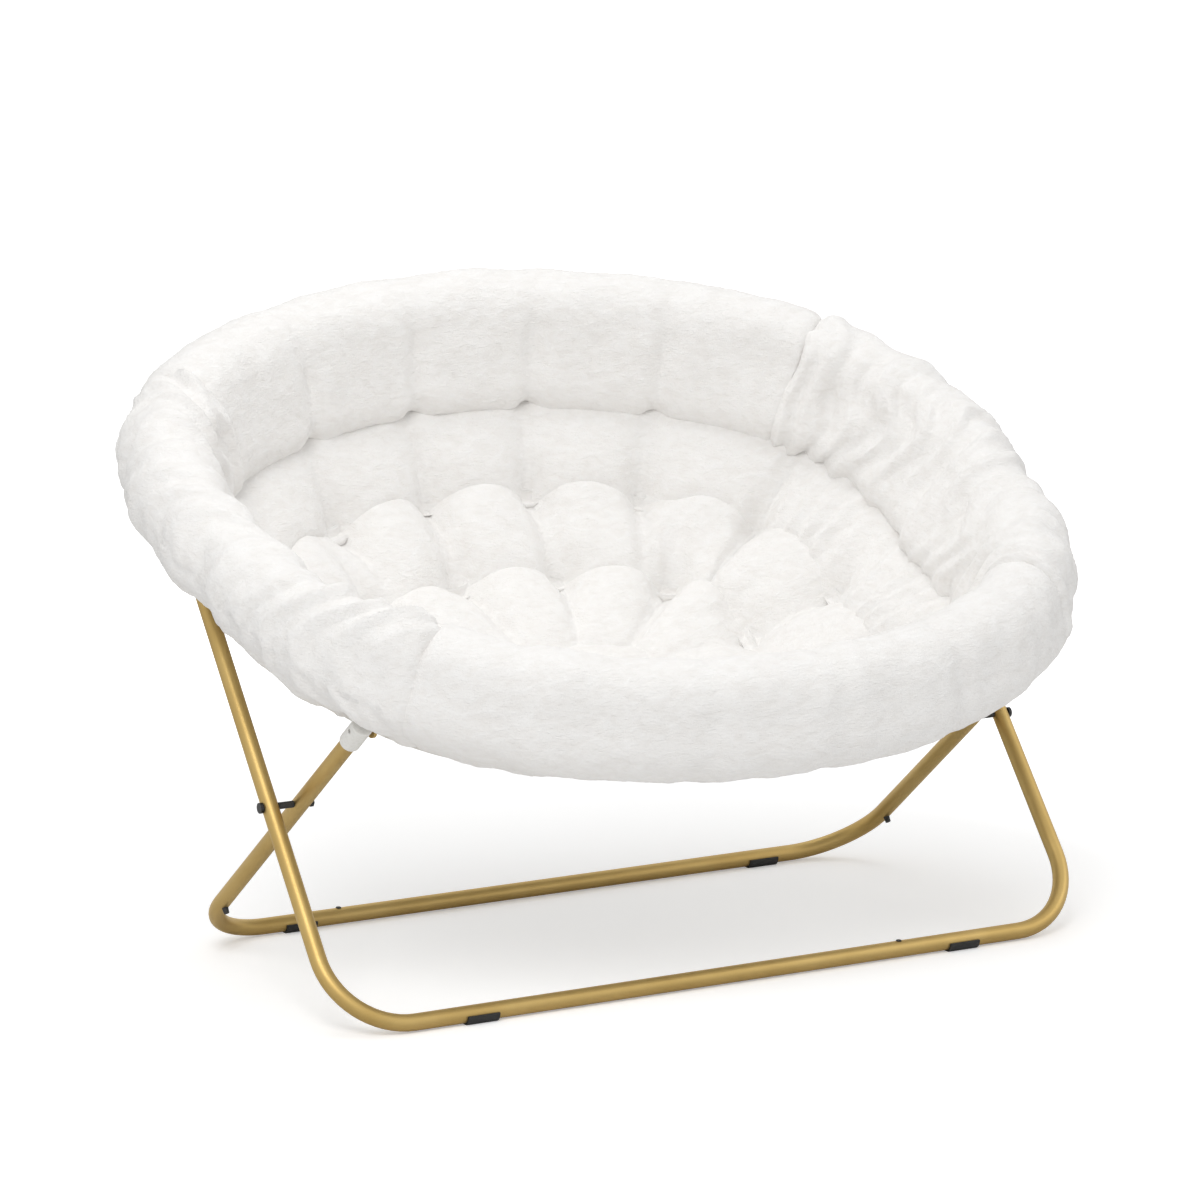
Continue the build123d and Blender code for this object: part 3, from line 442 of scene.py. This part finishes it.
def row_surface(u, angle, outer, inner, outer_tufts, inner_tufts):
    """Inset and lift of a crowned row between two scalloped seams, pulled in at its tufts."""
    outer_line = seam_line(u, outer, outer_tufts)
    inner_line = seam_line(u, inner, inner_tufts)
    half = (inner_line - outer_line) / 2 + SEAM_LAP
    across = np.sign(np.cos(angle)) * np.abs(np.cos(angle)) ** TOP_ROUND
    inset = (outer_line + inner_line) / 2 + half * across
    up = np.sin(angle)
    top = -CHANNEL + (CHANNEL + CROWN) * np.abs(up) ** TOP_ROUND
    under = -CHANNEL - (PAD_T - CHANNEL) * np.abs(up) ** UNDER_ROUND
    lift = np.where(up > 0, top, under)
    shown = smooth(up * 4 + 0.6)
    for tufts, seam in ((outer_tufts, outer_line), (inner_tufts, inner_line)):
        if tufts is None:
            continue
        near, full = between_tufts(u, tufts, seam.mean())
        reach = np.clip(1 - np.abs(inset - seam) / (inner - outer), 0, 1)
        dimple = DIMPLE * np.exp(-(near ** 2 + (inset - seam) ** 2) / DIMPLE_SPREAD ** 2)
        valley = VALLEY * np.exp(-(near / VALLEY_HALF) ** 2) * (VALLEY_FAR + (1 - VALLEY_FAR) * reach)
        lift = lift + shown * (FULLNESS * (full - 0.5) * reach * np.abs(up) - dimple - valley)
    return inset, lift


def make_row(name, outer, inner, outer_tufts, inner_tufts, nodes):
    """One padded row all round the bowl. The upper one is gathered at the sides."""
    around = int(RIM_LENGTH * (1 - outer / 0.75) / FUR_PITCH)
    across = int(ROW_GIRTH * (inner - outer + PAD_T) / FUR_PITCH)
    row, share, angle = closed_ring(name, around, across)
    inset, lift = row_surface(share, angle, outer, inner, outer_tufts, inner_tufts)
    side = np.abs(np.cos(rim_at(share)[2])) ** 4
    at = share * RIM_LENGTH
    gathered = np.sin(at / SIDE_GATHER_PITCH * 2 * pi + 5 * inset / 0.1 + 1.5 * np.sin(at * 9))
    lift = lift + SIDE_GATHER * side * gathered * smooth(np.sin(angle) * 3) * (outer < LOWER_ROW_AT)
    move_points(row, on_bowl(share, inset, lift))
    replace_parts(finish_padding(row), *nodes)
    bend_at_fold(row)


def make_seat_floor():
    """The middle of the seat: a soft pad with a few slack folds along it."""
    floor, share, angle = closed_bolster("seat_floor", 60, 200)
    upper = share < 0.5
    out = np.where(upper, share, 1 - share) * 2
    inset = HALF_SPAN - (HALF_SPAN - FLOOR_AT + FLOOR_LAP) * np.sin(out * pi / 2)
    slack = FLOOR_SLACK * np.sin(out * 9 + 1.5 * np.cos(angle)) * (1 - out)
    lift = np.where(upper, -CHANNEL * out ** 3 + slack, -PAD_T + FLOOR_THIN)
    u = (angle / (2 * pi)) % 1.0
    move_points(floor, on_bowl(u, inset, lift))
    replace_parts(finish_padding(floor), "seat_pad_back", "seat_pad_front")
    bend_at_fold(floor)


def make_sling():
    """The woven cloth under the cushion, a thin bowl from beside the roll to the middle of the seat."""
    sling, share, angle = closed_bolster("seat_sling", 150, 400)
    inside = share < 0.5
    out = np.where(inside, share, 1 - share) * 2
    u = (angle / (2 * pi)) % 1.0
    edge = SLING_AT + SLING_FRONT_IN * np.clip(-np.sin(rim_at(u)[2]), 0, 1)
    inset = HALF_SPAN - (HALF_SPAN - edge) * out
    lift = np.where(inside, -PAD_T - SLING_GAP, -PAD_T - SLING_GAP - SLING_T)
    move_points(sling, on_bowl(u, inset, lift))
    face_outwards(sling)
    dress(sling, SLING_CLOTH)
    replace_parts(sling, "sling_back", "sling_front")
    bend_at_fold(sling)


def finish_padding(piece):
    """What every padded piece gets: outward faces, pile and fur."""
    face_outwards(piece)
    raise_pile(piece)
    dress(piece, FUR)
    return piece


# ---------------------------------------------------------------- materials
def new_material(name):
    material = bpy.data.materials.new(name)
    material.use_nodes = True
    nodes, links = material.node_tree.nodes, material.node_tree.links
    return material, nodes, links, nodes["Principled BSDF"]


def add_noise(nodes, links, scale, detail, stretch=(1, 1, 1), rough=0.55):
    """A noise texture on Object coordinates, with its lumps stretched."""
    place = nodes.new("ShaderNodeTexCoord")
    mapping = nodes.new("ShaderNodeMapping")
    mapping.inputs["Scale"].default_value = stretch
    texture = nodes.new("ShaderNodeTexNoise")
    texture.inputs["Scale"].default_value = scale
    texture.inputs["Detail"].default_value = detail
    texture.inputs["Roughness"].default_value = rough
    links.new(place.outputs["Object"], mapping.inputs["Vector"])
    links.new(mapping.outputs["Vector"], texture.inputs["Vector"])
    return texture


def add_ramp(nodes, links, source, stops):
    ramp = nodes.new("ShaderNodeValToRGB")
    first, last = ramp.color_ramp.elements
    first.position, first.color = stops[0][0], (*stops[0][1], 1)
    last.position, last.color = stops[-1][0], (*stops[-1][1], 1)
    for at, colour in stops[1:-1]:
        ramp.color_ramp.elements.new(at).color = (*colour, 1)
    links.new(source, ramp.inputs["Fac"])
    return ramp


def add_bump(nodes, links, height, shader, strength, distance, under=None):
    bump = nodes.new("ShaderNodeBump")
    bump.inputs["Strength"].default_value = strength
    bump.inputs["Distance"].default_value = distance
    links.new(height, bump.inputs["Height"])
    if under:
        links.new(under.outputs["Normal"], bump.inputs["Normal"])
    links.new(bump.outputs["Normal"], shader.inputs["Normal"])
    return bump


def make_fur():
    """Short white pile: clumps a few millimetres across, combed sideways, with a soft sheen."""
    material, nodes, links, shader = new_material("white_faux_fur")
    pile = add_noise(nodes, links, 420, 4, stretch=(0.30, 0.55, 1.0), rough=0.6)
    pile.inputs["Distortion"].default_value = 0.6
    clumps = add_noise(nodes, links, 95, 3, stretch=(0.45, 0.7, 1.0))
    clumps.inputs["Distortion"].default_value = 0.5
    tones = ((0.30, (0.855, 0.835, 0.81)), (0.50, (0.885, 0.87, 0.85)), (0.72, (0.905, 0.895, 0.88)))
    colour = add_ramp(nodes, links, clumps.outputs["Fac"], tones)
    links.new(colour.outputs["Color"], shader.inputs["Base Color"])
    shader.inputs["Roughness"].default_value = 0.95
    shader.inputs["Specular IOR Level"].default_value = 0.12
    shader.inputs["Sheen Weight"].default_value = 0.25
    shader.inputs["Sheen Roughness"].default_value = 0.5
    broad = add_bump(nodes, links, clumps.outputs["Fac"], shader, 0.5, 0.0040)
    add_bump(nodes, links, pile.outputs["Fac"], shader, 0.6, 0.0026, under=broad)
    return material


def make_woven(name, colour, dark, pitch):
    """Plain woven cloth: two sets of threads crossing."""
    material, nodes, links, shader = new_material(name)
    place = nodes.new("ShaderNodeTexCoord")
    heights = []
    for direction in ("X", "Y"):
        wave = nodes.new("ShaderNodeTexWave")
        wave.bands_direction = direction
        wave.inputs["Scale"].default_value = 0.314 / pitch
        wave.inputs["Distortion"].default_value = 0.6
        links.new(place.outputs["Object"], wave.inputs["Vector"])
        heights.append(wave)
    mix = nodes.new("ShaderNodeMath")
    mix.operation = "MAXIMUM"
    links.new(heights[0].outputs["Fac"], mix.inputs[0])
    links.new(heights[1].outputs["Fac"], mix.inputs[1])
    ramp = add_ramp(nodes, links, mix.outputs[0], ((0.2, dark), (0.9, colour)))
    links.new(ramp.outputs["Color"], shader.inputs["Base Color"])
    shader.inputs["Roughness"].default_value = 0.9
    shader.inputs["Specular IOR Level"].default_value = 0.2
    add_bump(nodes, links, mix.outputs[0], shader, 0.3, 0.0006)
    return material


def make_gold():
    """Gold coating over tube: satin, with faint unevenness along it."""
    material, nodes, links, shader = new_material("gold_coating")
    cloudy = add_noise(nodes, links, 9, 3)
    colour = add_ramp(nodes, links, cloudy.outputs["Fac"],
                      ((0.3, (0.47, 0.325, 0.115)), (0.7, (0.55, 0.395, 0.155))))
    links.new(colour.outputs["Color"], shader.inputs["Base Color"])
    shader.inputs["Metallic"].default_value = 1.0
    fine = add_noise(nodes, links, 600, 2)
    gloss = add_ramp(nodes, links, fine.outputs["Fac"], ((0.3, (0.42,) * 3), (0.7, (0.52,) * 3)))
    links.new(gloss.outputs["Color"], shader.inputs["Roughness"])
    add_bump(nodes, links, fine.outputs["Fac"], shader, 0.06, 0.0003)
    return material


def make_plain(name, low, high, rough, grain, metallic=0.0, bump=0.15):
    """A moulded or coated finish with fine grain and slight change of tone."""
    material, nodes, links, shader = new_material(name)
    texture = add_noise(nodes, links, grain, 3)
    colour = add_ramp(nodes, links, texture.outputs["Fac"], ((0.3, low), (0.7, high)))
    links.new(colour.outputs["Color"], shader.inputs["Base Color"])
    shader.inputs["Roughness"].default_value = rough
    shader.inputs["Metallic"].default_value = metallic
    add_bump(nodes, links, texture.outputs["Fac"], shader, bump, 0.0004)
    return material


def dress(piece, material):
    piece.data.materials.clear()
    piece.data.materials.append(material)


FUR = make_fur()
SLING_CLOTH = make_woven("sling_cloth", (0.80, 0.785, 0.755), (0.60, 0.585, 0.555), 0.0016)
GOLD = make_gold()
NYLON = make_plain("white_nylon", (0.74, 0.73, 0.69), (0.82, 0.81, 0.78), 0.42, 350)
RUBBER = make_plain("black_rubber", (0.012, 0.012, 0.012), (0.028, 0.028, 0.027), 0.62, 900)
BLACK_STEEL = make_plain("black_steel", (0.02, 0.02, 0.021), (0.045, 0.044, 0.043), 0.36, 700, 0.6)

NODE_FINISH = {
    "gold_tube": GOLD,
    "white_nylon": NYLON,
    "black_rubber": RUBBER,
    "black_steel": BLACK_STEEL,
    "faux_fur": FUR,
    "sling_fabric": SLING_CLOTH,
}


def dress_frame():
    """Gives every CAD node the finish of its slot."""
    for entry in frame["record"]["subparts"]:
        node = frame["nodes"][entry["node"]]
        dress(node, NODE_FINISH[entry["material_slot"]])
    deselect_all()


# ---------------------------------------------------------------- studio
def make_floor():
    """White floor: it keeps the chair's shadow close by, and is plain white to the eye further out."""
    deselect_all()
    bpy.ops.mesh.primitive_plane_add(size=60, location=(0, 0, 0))
    floor = bpy.context.object
    floor.name = "studio_floor"
    material, nodes, links, shader = new_material("studio_white")
    shader.inputs["Base Color"].default_value = (0.92, 0.92, 0.92, 1)
    shader.inputs["Roughness"].default_value = 0.9
    shader.inputs["Specular IOR Level"].default_value = 0.0
    place = nodes.new("ShaderNodeTexCoord")
    length = nodes.new("ShaderNodeVectorMath")
    length.operation = "LENGTH"
    links.new(place.outputs["Object"], length.inputs[0])
    glow = nodes.new("ShaderNodeMapRange")
    glow.inputs["From Min"].default_value = GLOW_FROM
    glow.inputs["From Max"].default_value = GLOW_FULL
    glow.inputs["To Min"].default_value = FLOOR_GLOW
    glow.inputs["To Max"].default_value = 1.0
    links.new(length.outputs["Value"], glow.inputs["Value"])
    path = nodes.new("ShaderNodeLightPath")
    seen = nodes.new("ShaderNodeMath")
    seen.operation = "MULTIPLY"
    links.new(glow.outputs["Result"], seen.inputs[0])
    links.new(path.outputs["Is Camera Ray"], seen.inputs[1])
    shader.inputs["Emission Color"].default_value = (1, 1, 1, 1)
    links.new(seen.outputs["Value"], shader.inputs["Emission Strength"])
    dress(floor, material)


def make_world():
    world = bpy.data.worlds.new("studio_world")
    bpy.context.scene.world = world
    world.use_nodes = True
    nodes, links = world.node_tree.nodes, world.node_tree.links
    back = nodes["Background"]
    back.inputs["Color"].default_value = (1.0, 1.0, 1.0, 1)
    back.inputs["Strength"].default_value = WORLD_LIGHT
    seen = nodes.new("ShaderNodeBackground")
    seen.inputs["Color"].default_value = (1.0, 1.0, 1.0, 1)
    seen.inputs["Strength"].default_value = 1.0
    mix = nodes.new("ShaderNodeMixShader")
    path = nodes.new("ShaderNodeLightPath")
    either = nodes.new("ShaderNodeMath")
    either.operation = "MAXIMUM"
    links.new(path.outputs["Is Camera Ray"], either.inputs[0])
    links.new(path.outputs["Is Glossy Ray"], either.inputs[1])
    links.new(either.outputs["Value"], mix.inputs["Fac"])
    links.new(back.outputs["Background"], mix.inputs[1])
    links.new(seen.outputs["Background"], mix.inputs[2])
    links.new(mix.outputs["Shader"], nodes["World Output"].inputs["Surface"])


def add_lamp(name, place, size, watts, aim=(0, 0, 0.45)):
    data = bpy.data.lights.new(name, "AREA")
    data.shape = "DISK"
    data.size = size
    data.energy = watts
    lamp = bpy.data.objects.new(name, data)
    bpy.context.scene.collection.objects.link(lamp)
    lamp.location = place
    lamp.rotation_mode = "QUATERNION"
    lamp.rotation_quaternion = (Vector(aim) - Vector(place)).to_track_quat("-Z", "Y")


def make_camera():
    data = bpy.data.cameras.new("photo_camera")
    data.sensor_width = SENSOR
    data.lens = LENS
    data.clip_end = 60
    camera = bpy.data.objects.new("photo_camera", data)
    bpy.context.scene.collection.objects.link(camera)
    ahead = Vector((sin(AZIMUTH) * cos(ELEVATION), cos(AZIMUTH) * cos(ELEVATION), -sin(ELEVATION)))
    camera.location = TARGET - ahead * DISTANCE
    camera.rotation_mode = "QUATERNION"
    camera.rotation_quaternion = ahead.to_track_quat("-Z", "Y")
    bpy.context.scene.camera = camera


# ---------------------------------------------------------------- build
bpy.context.scene.view_settings.view_transform = "Standard"
make_camera()
make_world()
make_floor()
add_lamp("key", (-2.2, -2.4, 3.4), 2.2, 66)
add_lamp("fill", (3.2, -2.0, 2.2), 2.4, 18)
add_lamp("top", (0.0, 0.6, 3.6), 2.6, 33)

dress_frame()
make_rolls()
make_row("upper_row", UPPER_ROW_AT, LOWER_ROW_AT, None, UPPER_TUFTS,
         ("upper_row_back", "upper_row_front"))
make_row("lower_row", LOWER_ROW_AT, SEAT_ROW_AT, UPPER_TUFTS, LOWER_TUFTS,
         ("lower_row_back", "lower_row_front"))
make_row("seat_row", SEAT_ROW_AT, FLOOR_AT, LOWER_TUFTS, None, ())
make_seat_floor()
make_sling()

deselect_all()
